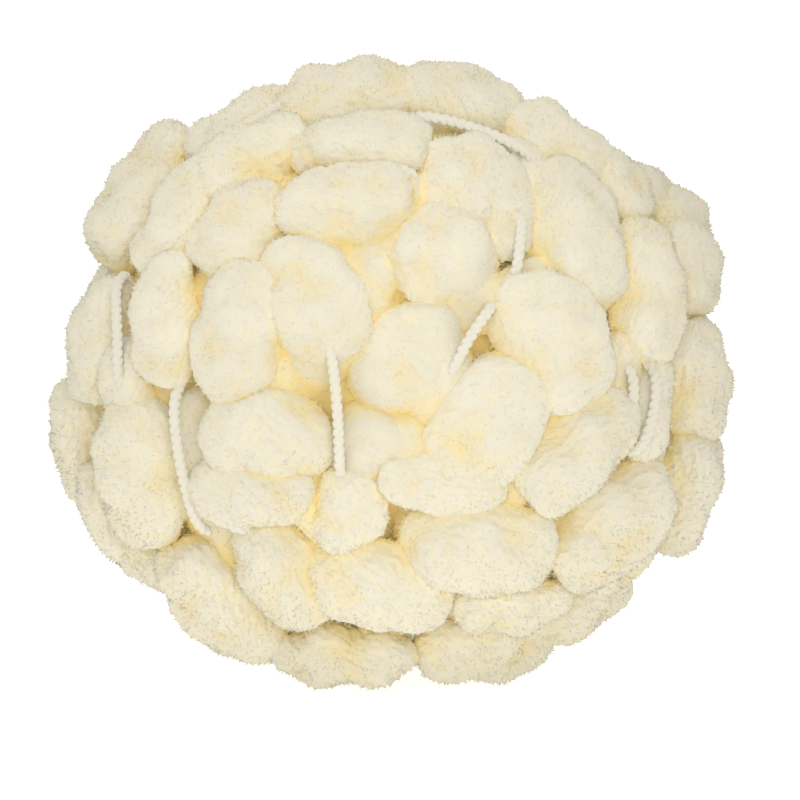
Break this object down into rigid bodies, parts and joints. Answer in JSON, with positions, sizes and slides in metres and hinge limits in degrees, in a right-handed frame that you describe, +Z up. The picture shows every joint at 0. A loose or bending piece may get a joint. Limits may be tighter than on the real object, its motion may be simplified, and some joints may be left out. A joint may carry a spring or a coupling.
{
  "type": "pom pom yarn ball",
  "caption": "Ball of soft pom pom yarn: plush oval puffs on a thin twisted cord, wound round one axis, resting on a small pressed flat spot.",
  "frame": {"origin": "on the resting plane, in the pressed flat spot, straight under the middle of the ball", "axes": "+Z up, -Y towards the front, where the winding axis comes out 15 degrees above level, +X to the right as seen from the front"},
  "size_m": [0.1712, 0.1467, 0.1583],
  "materials": {
    "pile_yarn": "soft matte polyester pile on a twisted cord"
  },
  "bodies": {
    "root": {"yarn_ball": "pile_yarn"}
  },
  "joints": []
}
